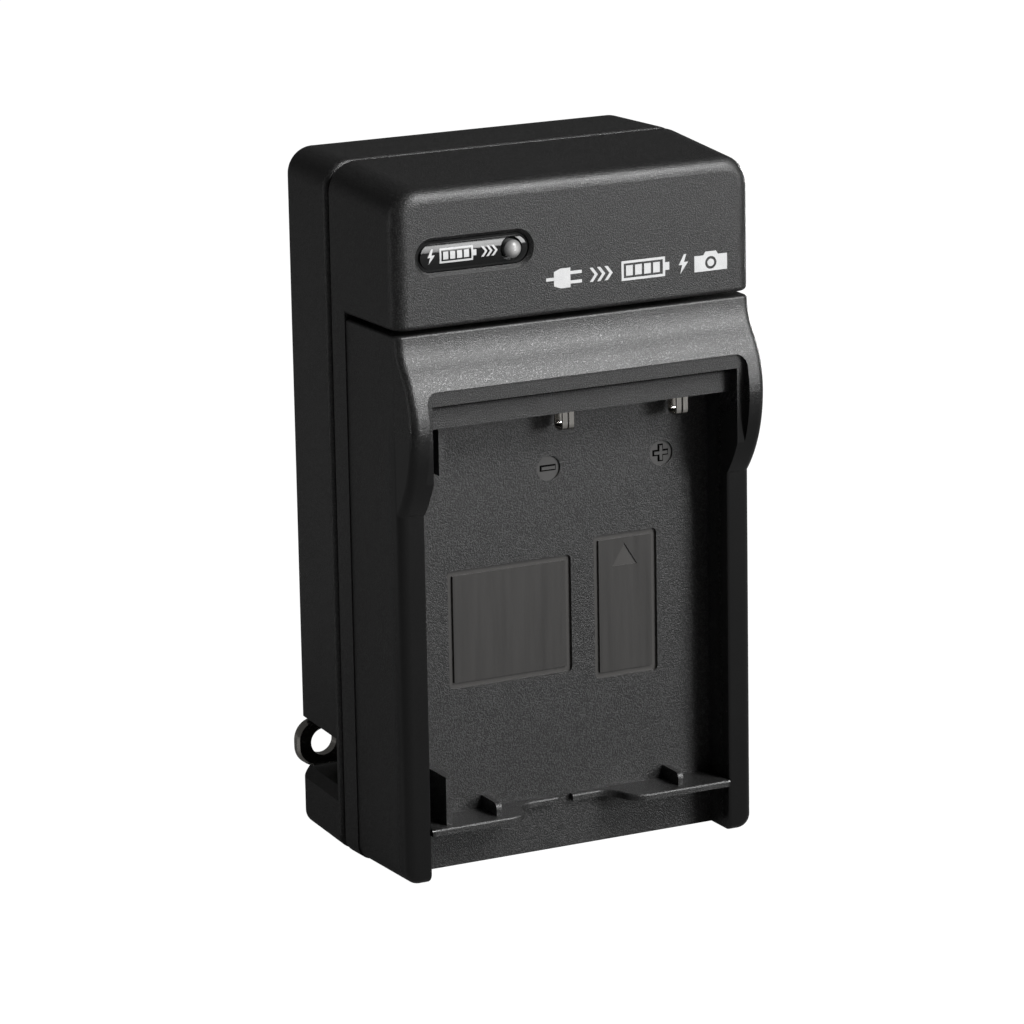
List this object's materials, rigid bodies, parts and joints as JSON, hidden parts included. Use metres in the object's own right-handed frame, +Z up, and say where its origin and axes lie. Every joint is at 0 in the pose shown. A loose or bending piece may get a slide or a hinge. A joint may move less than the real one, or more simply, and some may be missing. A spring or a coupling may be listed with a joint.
{
  "type": "camera battery charger",
  "caption": "Black plug-in wall charger with a battery cradle under an arched shelf on its front, sprung contacts, a charge lamp and flat mains blades that fold sideways.",
  "frame": {"origin": "centre of the base, on the surface it stands on", "axes": "+Z up, the battery cradle faces -Y, the mains blades open towards +Y"},
  "size_m": [0.0522, 0.036, 0.09],
  "materials": {
    "case_black": "fine moulded grain",
    "cradle_black": "fine moulded grain",
    "window_gloss": "polished",
    "lamp_lens": "clear dome",
    "tinned_wire": "tinned",
    "nickel": "nickel plated",
    "hub_black": "moulded",
    "spring_brass": "rolled strip",
    "board_green": "solder mask",
    "ferrite": "ground ferrite",
    "bobbin_plastic": "moulded",
    "winding_tape": "taped winding",
    "capacitor_sleeve": "printed sleeve, bare",
    "moulded_black": "moulded",
    "resistor_coat": "lacquered",
    "screw_steel": "zinc plated"
  },
  "bodies": {
    "charger": {"rear_shell": "case_black", "front_shell": "case_black", "cradle_plate": "cradle_black", "charge_window": "window_gloss", "status_led": "lamp_lens", "status_led_leads": "tinned_wire", "prong_retainer": "hub_black", "plug_contact_left": "spring_brass", "plug_contact_right": "spring_brass", "circuit_board": "board_green", "transformer_core": "ferrite", "transformer_bobbin": "bobbin_plastic", "transformer_winding": "winding_tape", "bulk_capacitor": "capacitor_sleeve", "output_capacitor": "capacitor_sleeve", "rectifier_diodes": "moulded_black", "fuse_resistor": "resistor_coat", "switching_transistor": "moulded_black", "controller_chip": "moulded_black", "case_screws": "screw_steel", "board_screws": "screw_steel", "retainer_screws": "screw_steel"},
    "blade_left": {"prong_left": "nickel", "prong_hub_left": "hub_black"},
    "blade_right": {"prong_right": "nickel", "prong_hub_right": "hub_black"},
    "spring_negative": {"contact_negative": "nickel"},
    "spring_positive": {"contact_positive": "nickel"}
  },
  "joints": [
    {"name": "blade_left_fold", "type": "hinge", "parent": "charger", "child": "blade_left", "pos_m": [-0.00745, 0.01572, 0.0113], "axis": [0, 0, -1], "range_deg": [0, 90]},
    {"name": "blade_right_fold", "type": "hinge", "parent": "charger", "child": "blade_right", "pos_m": [0.00745, 0.01572, 0.0113], "axis": [0, 0, 1], "range_deg": [0, 90]},
    {"name": "contact_negative_flex", "type": "hinge", "parent": "charger", "child": "spring_negative", "pos_m": [-0.0006, -0.00317, 0.0612], "axis": [-1, 0, 0], "range_deg": [0, 6], "stiffness_Nm_per_rad": 0.09},
    {"name": "contact_positive_flex", "type": "hinge", "parent": "charger", "child": "spring_positive", "pos_m": [0.0157, -0.00317, 0.0612], "axis": [-1, 0, 0], "range_deg": [0, 6], "stiffness_Nm_per_rad": 0.09}
  ]
}
